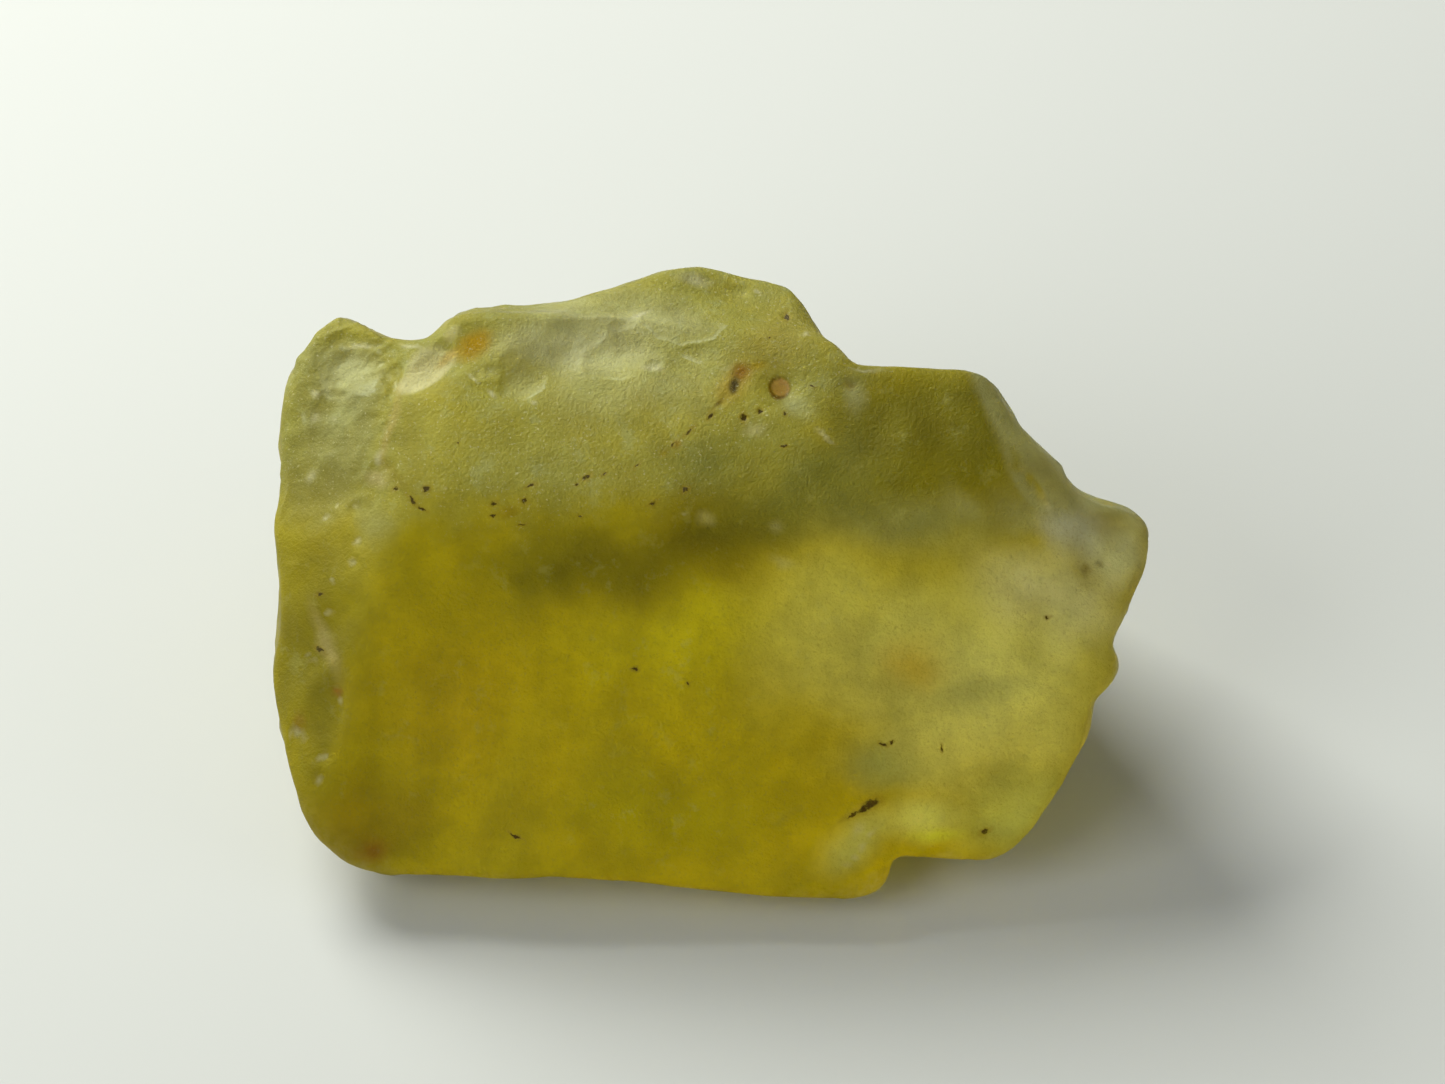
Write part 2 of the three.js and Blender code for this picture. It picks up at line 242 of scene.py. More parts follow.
CREASE = [(-13.1, 9.0), (-13.3, 8.0), (-13.3, 5.4), (-12.9, 3.9), (-11.9, 2.9)]  # across and up


def crease(place):
    """The edge where the flank meets the lump: a groove, steep on the lump's side."""
    distance, along = to_path(place, *CREASE)
    side = 0.6 if place.x < -13.1 else 0.34
    return -0.16 * max(0.0, 1 - distance / side) * (1 - 0.6 * along)


print("crease at its ends, mm:", [round(crease(Vector(end)), 2) for end in (CREASE[0], CREASE[-1])])

# %% [markdown]
# ## The crown's shells
#
# Glass breaks in shells: each chip is a smooth shallow dish with a crisp lower lip that fades out
# upwards, and often faint ripples that spread from where it was struck. The crown has a row of them,
# one cutting into the next. Where two overlap the deeper one counts, which makes the crisp edges
# between them. The place is bent with noise first, because no real rim is an ellipse.

# %% Shells, with their ripples
SHELLS = [  # across, up, half width, half height, turn, depth
    (-9.34, 8.8, 0.9, 0.45, -12, 0.16),
    (-7.79, 8.52, 1.1, 0.9, 15, 0.26),
    (-8.3, 9.2, 0.45, 0.8, -35, 0.16),
    (-5.9, 9.55, 0.9, 0.85, 10, 0.22),
    (-5.7, 10.5, 1.4, 0.9, 8, 0.18),
    (-3.7, 9.5, 1.8, 0.9, 7, 0.28),
    (-2.45, 9.2, 0.55, 0.45, 20, 0.24),
    (-1.3, 11.0, 1.8, 0.85, -12, 0.22),
    (-3.3, 11.2, 1.0, 0.5, 25, 0.14),
    (-0.3, 9.6, 1.2, 0.5, -18, 0.1),
    (-14.9, 8.95, 1.5, 1.05, 24, 0.15),
    (-16.2, 7.2, 0.9, 0.5, 35, 0.08),
    (-14.2, 9.95, 1.2, 0.28, -4, 0.1),
    (15.6, 1.3, 0.9, 0.7, 60, 0.18),
    (16.6, 0.6, 0.8, 0.6, 75, 0.16),
    (16.7, 2.2, 0.7, 0.5, -30, 0.1),
    (12.9, 4.4, 1.8, 0.5, -52, 0.14),
    (9.3, -10.5, 1.3, 0.55, 3, 0.24),
    (6.4, -11.2, 0.9, 0.6, 35, 0.2),
    (5.9, -10.3, 1.2, 0.5, 48, 0.16),
    (10.7, -10.9, 0.5, 0.4, -20, 0.2),
    (16.1, -3.0, 0.7, 0.5, 70, 0.2),
    (15.3, -4.9, 0.6, 0.45, 60, 0.16),
]


WORN_DOWN = 0.6  # the share of their first depth that the shells have kept
RIPPLE = 0.008  # mm
RIM = 0.4  # a dish's rim reaches in to where the dish is this deep, of 1


def shell_bend(point):
    """What bends the outlines of the shells, mm."""
    return noise.noise_vector(point / 1.5) * 0.36 + noise.noise_vector(point / 0.55) * 0.12


def shells(place, point):
    """How far the shells sink a point, mm: a dish each, shallower upwards, with faint ripples."""
    bent = place + shell_bend(point)
    deepest = 0.0
    for across, up, wide, tall, turn, depth in SHELLS:
        dish = bowl(bent, across, up, wide, tall, turn)
        if dish > 0:
            fade = 1 - 0.75 * ramp(bent.y - up, 0.0, tall)
            struck = math.hypot(bent.x - across + wide, bent.y - up - tall)
            ripple = RIPPLE * math.sin(math.tau * struck ** 0.8 / 0.5) * dish
            deepest = max(deepest, WORN_DOWN * depth * fade * dish ** 0.8 + ripple)
    return -deepest


def lips(place, point):
    """How much a point lies on the crisp lower rim of a shell, 0 to 1."""
    bent = place + shell_bend(point)
    strongest = 0.0
    for across, up, wide, tall, turn, depth in SHELLS:
        dish = bowl(bent, across, up, wide, tall, turn)
        if 0 < dish < RIM:
            low = 1 - ramp(bent.y - up, -0.5 * tall, 0.3 * tall)
            strongest = max(strongest, low * (1 - dish / RIM))
    return strongest * ramp(noise.noise(point / 1.1 + Vector((3, 8, 1))), -0.35, 0.35)


print("shells:", len(SHELLS))

# %% [markdown]
# ## The pale chip, the groove and the ledge
#
# Beside the saddle a flake has split off clean. Its face starts at a straight crisp edge and slopes
# away from it, so its depth follows how far behind that edge a point lies, and fades out further back.
# A thin groove runs along the crest, a stained trench lies beside the round pit, and a low ledge runs
# down the left end. These three follow paths.


# %% Chip, groove and ledge
def pale_chip(place):
    """The clean flake scar beside the saddle, mm."""
    edge = Vector((0.829, 0.56))  # the way its crisp edge runs, up to the right
    reach = Vector((place.x + 12.66, place.y - 7.62))
    along = reach.dot(edge)
    behind = edge.x * reach.y - edge.y * reach.x
    if not (-0.4 < along < 3.4 and 0 < behind < 3.0):
        return 0.0
    slope = min(behind, 0.9) * 0.19
    fade = 1 - ramp(behind, 0.8, 3.0)
    return -slope * fade * ramp(along, -0.4, 0.1) * (1 - ramp(along, 2.8, 3.4))


def groove(place):
    """The thin groove along the crest, mm."""
    distance, _ = to_path(place, (-0.9, 12.75), (-0.2, 12.6), (0.35, 12.25), (1.3, 12.2))
    return -0.08 * max(0.0, 1 - (distance / 0.3) ** 2)


def smear(place):
    """The stained trench beside the round pit, mm."""
    distance, along = to_path(place, (0.4, 7.5), (0.85, 8.1), (1.15, 8.85))
    return -0.035 * max(0.0, 1 - (distance / (0.22 + 0.14 * along)) ** 2)


def ledge(place):
    """The low ledge down the left end. It stands out, so its depth counts upwards, mm."""
    distance, along = to_path(place, (-17.3, 0.7), (-16.9, -1.9), (-16.2, -3.0), (-15.0, -4.6))
    return 0.16 * max(0.0, 1 - distance / 0.45) * (1 - along)


chip_edge, chip_back = Vector((-11.6, 8.4)), Vector((-12.0, 9.2))
print("chip, mm: at its edge", round(pale_chip(chip_edge), 2), " behind", round(pale_chip(chip_back), 2))

# %% [markdown]
# ## Pits and pecks
#
# Grains and bubbles near the skin have fallen out and left pits. One on the crown is as round and deep
# as if it were drilled. The solid has a wider, softer dent around that place, so a low bowl fills it
# first. The others are shallow pecks from knocks, a little paler than the skin.

# %% Pits and pecks
PITS = [  # across, up, radius, depth
    (2.79, 8.14, 0.47, 0.18),
    (1.35, 6.89, 0.16, 0.07),
    (2.0, 7.2, 0.14, 0.06),
    (3.05, 11.15, 0.16, 0.07),
    (5.75, 8.3, 0.3, 0.1),
    (-15.86, 2.85, 0.3, 0.1),
    (-14.65, 3.2, 0.25, 0.08),
    (-14.6, 1.85, 0.3, 0.08),
    (-14.7, 0.98, 0.24, 0.08),
    (-15.7, -1.1, 0.22, 0.07),
    (-15.35, -4.4, 0.3, 0.12),
    (-17.05, -6.05, 0.36, 0.1),
    (-15.95, -7.0, 0.4, 0.1),
    (-16.2, -7.85, 0.32, 0.09),
    (-0.16, 2.8, 0.42, 0.05),
    (2.6, 2.6, 0.38, 0.03),
    (15.35, 0.65, 0.26, 0.08),
    (15.95, 0.95, 0.22, 0.08),
]
DENT = (2.25, 8.25, 0.95, 0.85)  # across, up, half width, half height
DENT_FILL = 0.15  # mm


def pits(place):
    """How far the pits sink a point, mm, with the solid's wider dent filled."""
    deepest = 0.0
    for across, up, radius, depth in PITS:
        distance = math.hypot(place.x - across, place.y - up) / radius
        if distance < 1:
            deepest = max(deepest, depth * min(1.0, 1.9 * (1 - distance * distance)))
    return DENT_FILL * bowl(place, *DENT) - deepest


print("pits:", len(PITS))

# %% [markdown]
# ## The sides that face away
#
# The back and the ends were never polished by wear as the face was. They are covered with thumbprints:
# dishes of a few millimetres that meet in low crisp ridges. A cell pattern gives just that, because
# the distance to the nearest cell centre grows towards the border and stops there in a crease. Here
# and there a small hole is left by a bubble.


# %% Thumbprints and bubble holes
def thumbprints(point):
    """Dishes that meet in low ridges, with smaller ones inside them, mm."""
    wobble = noise.noise_vector(point / 2.4) * 0.28
    near = noise.voronoi(point / 3.1 + wobble)[0]
    cell = min(1.0, near[0] / 0.62)
    fine = noise.voronoi(point / 1.25 + wobble)[0]
    return -0.24 * (1 - cell * cell) - 0.05 * max(0.0, 1 - (fine[0] / 0.6) ** 2)


def bubbles(point):
    """The small holes that bubbles have left, mm: one in some of the cells, each of its own size."""
    cell, centres = noise.voronoi(point / 2.3 + Vector((31, 5, 8)))
    size = 0.07 + 0.09 * abs(noise.cell(centres[0] * 17))
    rare = noise.cell(centres[0] * 29) > 0.25
    return -0.16 * max(0.0, 1 - (cell[0] / size) ** 2) if rare else 0.0


print("a row of thumbprints, mm:", [round(thumbprints(Vector((x, 9, 5))), 2) for x in range(6)])

# %% [markdown]
# ## Move the points
#
# Now every point sinks along its own normal by the sum of its marks. Marks of the best side count only
# where the skin faces out of it, and fade out as it turns away; thumbprints do the opposite. The flat
# underside is treated apart: a broken stone touches the ground at a few places, so between them the
# skin is lifted by a few tenths of a millimetre. Nothing may leave the solid's box.


# %% Sink each point by the sum of its marks
def depth_at(vert):
    """The sum of a point's marks, mm: above nought it rises, below it sinks."""
    point = vert.co / MM
    place = place_on_best_side(vert.co)
    facing = ramp(vert.normal.dot(OUT), 0.05, 0.35)
    depth = worn(point)
    if facing > 0:
        marks = shells(place, point) + flank(place, point) + crease(place) + pits(place)
        marks += pale_chip(place) + groove(place) + smear(place) + ledge(place)
        depth += facing * marks
    if facing < 1:
        depth += (1 - facing) * (thumbprints(point) + bubbles(point))
    return depth


depths = [depth_at(vert) for vert in skin.verts]
resting = [vert for vert in skin.verts if vert.co.z <= FLAT]
low, high = (Vector(corner) for corner in cad_box)
for vert, depth in zip(skin.verts, depths):
    if vert.co.z > FLAT:
        vert.co += vert.normal * depth * MM
    else:
        point = vert.co / MM
        hills = 0.45 * noise.noise(point / 3.3 + Vector((4, 4, 0)))
        lift = 0.2 + hills + 0.06 * noise.noise(point / 0.8)
        vert.co.z += max(0.0, lift) * MM
    vert.co = Vector(min(max(vert.co[axis], low[axis]), high[axis]) for axis in range(3))
round_off(1, 0.25)
skin.normal_update()
print("points on the flat:", len(resting), " still touching:", sum(v.co.z < FLAT for v in resting))
print("deepest mark, mm:", round(min(depths), 2), " highest, mm:", round(max(depths), 2))

# %% [markdown]
# ## Where the skin is worn and where it is hollow
#
# The finish depends on the shape: edges are rubbed pale, and hollows are painted whitish, as a painted
# highlight of the light they catch, and keep some shine. So each point keeps a number, above nought
# on an edge and below it in a hollow. It compares a point with the middle of its neighbours, and it is
# averaged a little so that it isn't grainy. The material reads it back as an attribute.

# %% Measure edges and hollows
skin.verts.ensure_lookup_table()
rise = []
for vert in skin.verts:
    around = [edge.other_vert(vert).co for edge in vert.link_edges]
    middle = sum(around, Vector()) / len(around)
    span = sum((co - vert.co).length for co in around) / len(around)
    rise.append((vert.co - middle).dot(vert.normal) / span)
neighbours = [[edge.other_vert(vert).index for edge in vert.link_edges] for vert in skin.verts]
for _ in range(3):
    rise = [
        0.4 * own + 0.6 * sum(rise[index] for index in around) / len(around)
        for own, around in zip(rise, neighbours)
    ]
edge_layer = skin.verts.layers.float.new("edge")
for vert, value in zip(skin.verts, rise):
    vert[edge_layer] = value
print("edge measure from", round(min(rise), 3), "to", round(max(rise), 3))

# %% [markdown]
# ## Where frost and painted reflection lie
#
# The pale grey-green haze on faces that look up is partly frost from sand and salt, and partly a
# painted reflection of the light from above. On the best side it covers the lump and ends along the
# brow, in a soft ragged line that climbs to the right. The shoulder has little of it. Another number
# per point says how thick it lies.

# %% Measure the frost and the painted reflection
BROW = [(-14.0, 3.6), (-10.7, 3.1), (-8.7, 2.9), (-6.6, 2.9), (-4.6, 3.3), (-2.5, 3.9), (-0.5, 4.4),
        (1.6, 5.4), (3.6, 6.2), (5.5, 7.4), (7.5, 9.5)]  # across and up


def brow_height(across):
    """How far up the brow lies, mm."""
    if across <= BROW[0][0]:
        return BROW[0][1]
    for (left, low), (right, high) in zip(BROW, BROW[1:]):
        if across <= right:
            return low + (high - low) * (across - left) / (right - left)
    return BROW[-1][1]


def frost_and_reflection_at(vert):
    """How thick sand frosting and the painted reflection of light from above lie on a point, 0 to 1."""
    place = place_on_best_side(vert.co)
    point = vert.co / MM
    ragged = noise.noise(point / 2.2) * 0.9 + noise.noise(point / 0.8 + Vector((5, 1, 7))) * 0.5
    on_lump = ramp(place.y - brow_height(place.x) + ragged, -1.5, 1.5)
    facing = ramp(vert.normal.dot(OUT), 0.0, 0.3)
    upward = ramp(vert.normal.z, 0.5, 1.0)
    return facing * on_lump + (1 - facing) * upward


frost_and_reflection_layer = skin.verts.layers.float.new("frost_and_reflection")
for vert in skin.verts:
    vert[frost_and_reflection_layer] = frost_and_reflection_at(vert)
print("frosted points:", sum(vert[frost_and_reflection_layer] > 0.5 for vert in skin.verts))

# %% [markdown]
# ## Tints and painted light with a place of their own
#
# The best side has tints that anyone who handled the stone would point out, and painted light and
# shade: a dark green band under the brow, which is painted shade where the lump shades the face, a
# brown shoulder, a pale part at the lower right, partly the glass's own paler colour and partly a
# painted glow of light passing out through the thin end, with brown and grey clouds in it, and a pale
# crown, partly frost and partly a painted reflection of the light from above.
# Each is a soft ellipse with a ragged rim. They could be worked out in the material, but so many would
# make a net of hundreds of nodes, and that is slow to render. We paint them on the points once, as a
# colour with an alpha that says how thick it lies.

# %% Tints and painted light of the best side
TINTS_AND_PAINTED_LIGHT = [  # across, up, half width, half height, turn, softness, colour, thickness
    # the pale crown: partly frost and partly a painted reflection of the light from above, brightest as
    # painted light where the crown's hollow lies in shade
    (-5.4, 10.3, 5.6, 2.1, 8, 1.0, (0.82, 0.85, 0.52), 0.85),
    (-6.0, 10.2, 3.8, 1.2, 12, 1.0, (0.84, 0.87, 0.56), 0.9),
    (-0.7, 12.7, 1.2, 0.5, -10, 1.0, (0.85, 0.85, 0.62), 0.7),
    (-3.4, 8.4, 5.6, 2.3, 4, 1.0, (0.74, 0.8, 0.44), 0.5),
    # painted shade: the brow's dark band reaching up into the lump's lower part
    (-0.4, 5.0, 4.6, 2.4, 15, 1.0, (0.16, 0.2, 0.05), 0.75),
    # the olive of the flank's crease
    (-12.6, 5.8, 1.3, 2.8, 6, 1.0, (0.32, 0.3, 0.05), 0.7),
    # painted shade: the dark green band under the brow, where the lump shades the face, out to its right
    # end
    (-6.2, 0.6, 7.2, 2.5, -6, 1.0, (0.12, 0.113, 0.001), 0.8),
    (-0.4, 2.1, 7.4, 2.7, 14, 1.0, (0.06, 0.06, 0.001), 0.88),
    (4.0, 4.5, 5.6, 3.2, 18, 1.0, (0.15, 0.2, 0.06), 0.8),
    (5.6, 3.1, 3.6, 1.9, 8, 1.0, (0.12, 0.155, 0.035), 0.72),
    # the glass's own colours follow: olive, the brown shoulder, gold and orange on the face
    (6.0, 5.8, 1.8, 2.4, 0, 1.0, (0.26, 0.3, 0.12), 0.65),
    (9.4, 6.0, 5.6, 4.6, 0, 0.65, (0.15, 0.15, 0.005), 0.85),
    (8.9, 2.5, 6.6, 1.9, 0, 1.0, (0.33, 0.37, 0.16), 0.85),
    (0.6, -1.9, 9.6, 2.9, 9, 1.0, (1.0, 0.9, 0.01), 0.9),
    (-1.0, -5.0, 9.0, 3.6, 0, 1.0, (0.85, 0.72, 0.002), 0.4),
    (-11.5, -5.2, 5.5, 5.0, 0, 1.0, (0.8, 0.55, 0.001), 0.5),
    (-14.4, -9.8, 4.4, 2.8, -24, 1.0, (0.38, 0.23, 0.001), 0.7),
    (-2.0, -9.4, 7.5, 3.2, 0, 1.0, (0.42, 0.4, 0.001), 0.65),
    # the pale right part and the tip: partly the glass's own paler colour, partly a painted glow of
    # light passing out through the thin end
    (5.0, -2.0, 5.8, 6.0, 0, 1.0, (0.98, 0.95, 0.22), 0.8),
    (11.4, -3.8, 8.0, 6.9, 8, 0.9, (0.97, 1.0, 0.34), 0.97),
    (12.8, 3.2, 2.3, 1.7, -30, 1.0, (0.4, 0.42, 0.18), 0.85),
    (13.0, -0.2, 3.8, 2.2, -15, 1.0, (1.0, 1.0, 0.55), 0.97),
    (15.0, -0.6, 2.4, 3.0, -10, 1.0, (1.0, 1.0, 0.5), 0.9),
    (12.6, -9.4, 3.8, 2.3, 32, 1.0, (0.74, 0.82, 0.22), 0.85),
    (8.9, -9.6, 2.8, 1.3, 5, 0.9, (0.92, 1.0, 0.3), 0.85),
    (5.9, -10.5, 2.4, 1.5, 42, 0.9, (0.9, 0.98, 0.3), 0.7),
    (15.1, 2.2, 2.5, 1.7, -40, 0.9, (0.92, 1.0, 0.88), 0.97),
    (16.8, 1.2, 1.9, 2.2, -20, 0.9, (0.95, 1.0, 0.6), 0.95),
    # the glass's own tints and clouds follow
    (14.6, 4.4, 2.2, 0.3, -42, 0.9, (0.7, 0.5, 0.05), 0.7),
    (6.0, 7.8, 0.7, 1.3, 10, 0.9, (0.62, 0.66, 0.4), 0.6),
    (3.5, 7.3, 1.2, 0.7, -30, 1.0, (0.62, 0.68, 0.4), 0.55),
    (1.75, 6.4, 0.75, 0.45, 5, 1.0, (0.75, 0.74, 0.42), 0.65),
    (-0.2, 2.75, 0.6, 0.42, 15, 1.0, (0.7, 0.68, 0.32), 0.6),
    (2.6, 2.55, 0.6, 0.36, 0, 1.0, (0.6, 0.6, 0.3), 0.5),
    (2.9, 0.95, 0.9, 0.4, -20, 1.0, (0.85, 0.85, 0.4), 0.35),
    (-15.7, 6.4, 2.6, 4.8, -6, 0.6, (0.35, 0.355, 0.14), 0.8),
    (-14.9, 8.8, 1.8, 1.6, 20, 0.9, (0.64, 0.68, 0.4), 0.65),
    (-15.4, 6.9, 1.6, 0.7, 40, 0.9, (0.62, 0.68, 0.38), 0.5),
    (-14.0, 2.7, 1.6, 1.8, 0, 0.9, (0.45, 0.46, 0.18), 0.7),
    (-15.2, 1.0, 2.6, 1.7, 0, 1.0, (0.42, 0.37, 0.04), 0.65),
    (-13.8, 4.4, 0.8, 0.6, 0, 0.9, (0.78, 0.66, 0.38), 0.6),
    (-12.9, 4.5, 1.3, 0.3, -60, 0.9, (0.33, 0.27, 0.02), 0.6),
    (8.2, -3.3, 2.2, 2.0, 20, 1.0, (0.76, 0.5, 0.03), 0.65),
    (11.0, -4.4, 3.0, 1.1, 8, 1.0, (0.4, 0.46, 0.2), 0.6),
    (6.9, -7.3, 3.0, 1.5, 0, 1.0, (0.33, 0.42, 0.18), 0.65),
    (11.7, -8.2, 2.4, 1.4, 35, 1.0, (0.36, 0.42, 0.14), 0.45),
    (9.2, -10.3, 1.7, 0.5, 0, 1.0, (0.85, 0.95, 0.08), 0.8),
    (-16.4, -3.2, 2.2, 7.5, 3, 0.8, (0.28, 0.24, 0.008), 0.85),
    (-15.9, -2.4, 2.4, 0.5, -66, 1.0, (0.75, 0.62, 0.3), 0.5),
    (-16.4, 3.4, 2.4, 2.3, 0, 1.0, (0.42, 0.39, 0.1), 0.7),
]
print("tints:", len(TINTS_AND_PAINTED_LIGHT))

# %% [markdown]
# ## Stains, and painted light on the chip
#
# Iron and clay have soaked into open places: the round pit is floored with orange, the trench beside
# it is brown, and the pale chip has an orange patch. The chip's cream is partly its own and partly
# painted light, on a facet that faces the window light.

# %% The chip's cream with painted light, orange and brown stains
STAINS_AND_CHIP_LIGHT = [  # across, up, half width, half height, turn, softness, colour, thickness
    # the pale chip: cream partly of its own and partly painted light, on the facet that faces the window
    # light and over its shaded upper part
    (-11.9, 9.3, 1.3, 0.6, 34, 0.6, (1.0, 0.98, 0.6), 0.9),
    (-11.75, 8.8, 1.7, 0.6, 34, 0.3, (1.0, 0.96, 0.56), 0.97),
    (-10.7, 10.35, 0.6, 0.42, 42, 0.8, (1.0, 0.94, 0.46), 0.9),
    # the orange patch, and the stains in the pit and the trench
    (-10.9, 9.45, 0.8, 0.34, 36, 0.8, (0.9, 0.62, 0.14), 0.7),
    (-9.8, 9.85, 1.2, 0.75, 40, 0.8, (0.74, 0.42, 0.01), 0.97),
    (-13.1, 6.4, 0.4, 2.6, 0, 0.9, (0.66, 0.5, 0.2), 0.5),
    (2.6, 9.6, 2.6, 2.0, 20, 0.9, (0.6, 0.49, 0.12), 0.4),
    (0.8, 8.2, 1.4, 0.85, 50, 1.0, (0.72, 0.46, 0.07), 0.65),
    (1.85, 9.1, 0.5, 0.34, 20, 0.9, (0.5, 0.34, 0.0), 0.85),
    (1.2, 8.8, 0.8, 0.58, 50, 0.8, (0.34, 0.14, 0.0), 0.98),
    (0.9, 8.2, 0.34, 0.56, -20, 0.7, (0.022, 0.008, 0.0), 0.98),
    (-1.45, 5.9, 0.34, 0.24, 35, 0.8, (0.36, 0.2, 0.0), 0.85),
    (-1.95, 5.45, 0.3, 0.26, 35, 0.9, (0.42, 0.3, 0.0), 0.7),
    (0.25, 7.5, 0.5, 0.14, 46, 0.9, (0.14, 0.07, 0.01), 0.85),
    (2.77, 8.14, 0.54, 0.55, 0, 0.24, (0.2, 0.085, 0.008), 0.95),
    (2.83, 8.17, 0.43, 0.42, 0, 0.24, (1.0, 0.6, 0.25), 0.97),
    (-13.9, -10.9, 1.3, 0.8, 10, 0.9, (0.32, 0.12, 0.005), 0.9),
    (-17.0, -5.6, 0.4, 0.5, 0, 0.9, (0.5, 0.26, 0.03), 0.6),
    (-15.4, -4.3, 0.3, 0.3, 0, 0.7, (0.5, 0.16, 0.02), 0.8),
    (-8.4, 3.05, 0.8, 0.4, 15, 0.8, (0.4, 0.3, 0.01), 0.8),
    (15.35, 0.65, 0.3, 0.42, 0, 0.8, (0.22, 0.16, 0.03), 0.7),
    (15.95, 0.95, 0.24, 0.3, 0, 0.8, (0.16, 0.15, 0.08), 0.7),
    (5.75, 8.3, 0.3, 0.3, 0, 0.9, (0.25, 0.15, 0.02), 0.8),
]
print("stains:", len(STAINS_AND_CHIP_LIGHT))

# %% [markdown]
# ## Pale pecks and painted glints
#
# Where a grain of sand has struck, the glass is crushed to white. The pecks on the flank and two
# scratches near the notch are such places. The white rims beside the saddle and along the crest are
# painted glints, where the edges catch the window light.

# %% Crushed spots, and painted glints on rims
# the rims at (-12.4, 9.85) and (-14.4, 9.95) beside the saddle, and at (1.9, 12.15) and (6.3, 8.88)
# along the crest, are painted glints
PECKS_AND_GLINTS = [  # across, up, half length, half width, turn
    (-15.86, 2.8, 0.34, 0.16, 25), (-15.35, 3.3, 0.12, 0.1, 0), (-14.6, 3.2, 0.2, 0.14, 20),
    (-14.55, 1.85, 0.34, 0.2, 30), (-14.8, 1.0, 0.16, 0.26, -20), (-15.7, -1.1, 0.24, 0.16, 0),
    (-15.6, 0.2, 0.12, 0.16, 0), (-16.5, -2.9, 0.5, 0.12, -50), (-17.05, -6.1, 0.4, 0.26, -15),
    (-15.95, -7.05, 0.48, 0.22, 0), (-16.2, -7.9, 0.38, 0.14, 0), (-15.3, -4.7, 0.2, 0.12, 0),
    (-16.6, 4.55, 0.5, 0.2, 30), (-16.4, 8.0, 0.3, 0.2, 0), (-16.5, 7.0, 0.26, 0.36, -20),
    (-15.6, 6.75, 0.26, 0.12, 20), (-13.55, 5.3, 0.34, 0.5, 0), (-12.4, 9.85, 0.8, 0.16, -12),
    (-14.4, 9.95, 0.9, 0.14, 6), (-1.15, 2.9, 0.12, 0.1, 0),
    (4.6, 6.2, 0.6, 0.16, -40), (6.3, 8.88, 0.95, 0.1, 0), (6.35, -10.5, 1.0, 0.12, 48),
    (5.8, -11.1, 0.8, 0.12, 42), (6.0, -10.0, 0.5, 0.16, 50), (-2.4, 9.0, 0.7, 0.24, -12),
    (-7.35, 7.55, 0.16, 0.14, 0), (-9.9, 8.5, 0.5, 0.1, -50), (-9.2, 7.9, 0.4, 0.12, -40),
    (-2.9, 11.2, 0.7, 0.2, 30), (1.9, 12.15, 0.3, 0.14, 0), (3.8, 10.45, 0.2, 0.12, 0),
    (-11.0, 4.0, 0.1, 0.1, 0), (5.9, 8.0, 0.14, 0.1, 0), (2.6, 9.1, 0.1, 0.1, 0),
]
CRUSHED_AND_GLINT = (1.0, 1.0, 0.8)
patches = TINTS_AND_PAINTED_LIGHT + STAINS_AND_CHIP_LIGHT + [(*peck, 1.0, CRUSHED_AND_GLINT, 0.6) for peck in PECKS_AND_GLINTS]
print("patches to paint:", len(patches))

# %% [markdown]
# ## Paint the points
#
# The patches are laid over each other in order, as coats of thin paint. Noise bends the place first.
# A crisp stain has to stay in its own pit, so the bend goes with the softness of its rim, and the slow
# part of it also with its height. At the end come the shells and their lower lips, painted pale as
# painted highlights of the light that the chips catch, and the bevel, which is paler wherever the
# shape has it.


# %% Paint the patches on the points
LIT_SHELL_FLOOR = (0.92, 0.97, 0.64)
LIT_LIP = (0.92, 1.0, 0.75)
BEVEL = (0.5, 0.53, 0.27)
NO_PAINT = (0.5, 0.4, 0.1, 0.0)  # the last number is the alpha


def lay_over(under, over, thickness):
    """Lay a colour over a colour with alpha, both as they stand before the alpha is divided out."""
    rest = 1 - thickness
    return [u * rest + o * thickness for u, o in zip(under[:3], over)] + [under[3] * rest + thickness]


def paint_at(vert):
    """The colour painted on a point, and how thick it lies."""
    place = place_on_best_side(vert.co)
    point = vert.co / MM
    facing = ramp(vert.normal.dot(OUT), -0.1, 0.16)
    if facing == 0:
        return NO_PAINT
    ragged = noise.noise_vector(point / 1.1) * 0.2 + noise.noise_vector(point / 0.45) * 0.07
    drift = noise.noise_vector(point / 2.6)
    colour = [0.0, 0.0, 0.0, 0.0]
    for across, up, wide, tall, turn, soft, tint_and_light, thickness in patches:
        if abs(place.x - across) + abs(place.y - up) > 1.7 * (wide + tall):
            continue  # far outside the patch
        spot = place + (ragged + drift * min(1.2, 0.3 * tall)) * soft
        distance = math.sqrt(1 - bowl(spot, across, up, wide, tall, turn))
        colour = lay_over(colour, tint_and_light, thickness * (1 - ramp(distance, 1 - soft, 1)))
    # painted highlight: the shell floors and their lower lips are painted pale, the light that the
    # chips' faces catch
    if place.y > 5:
        lit_shell = ramp(-shells(place, point), 0.0, 0.2)
        colour = lay_over(colour, LIT_SHELL_FLOOR, 0.35 * lit_shell)
        colour = lay_over(colour, LIT_LIP, 0.6 * lips(place, point))
    on_bevel = ramp(vert.normal.x, 0.14, 0.34) * ramp(place.y, 2.4, 3.4) * ramp(place.x, 9, 11)
    colour = lay_over(colour, BEVEL, 0.85 * on_bevel)
    share = max(colour[3], 1e-6)
    return (colour[0] / share, colour[1] / share, colour[2] / share, colour[3] * facing)


paint_layer = skin.verts.layers.float_color.new("tint_and_light")
for vert in skin.verts:
    vert[paint_layer] = paint_at(vert)
print("painted points:", sum(vert[paint_layer][3] > 0.01 for vert in skin.verts))

# %% [markdown]
# ## Back into the object
#
# The worked skin goes back into the copy's mesh, and its faces are shaded smooth. The stone then takes
# the solid's place: it rides the same body, and the plain solid is hidden.

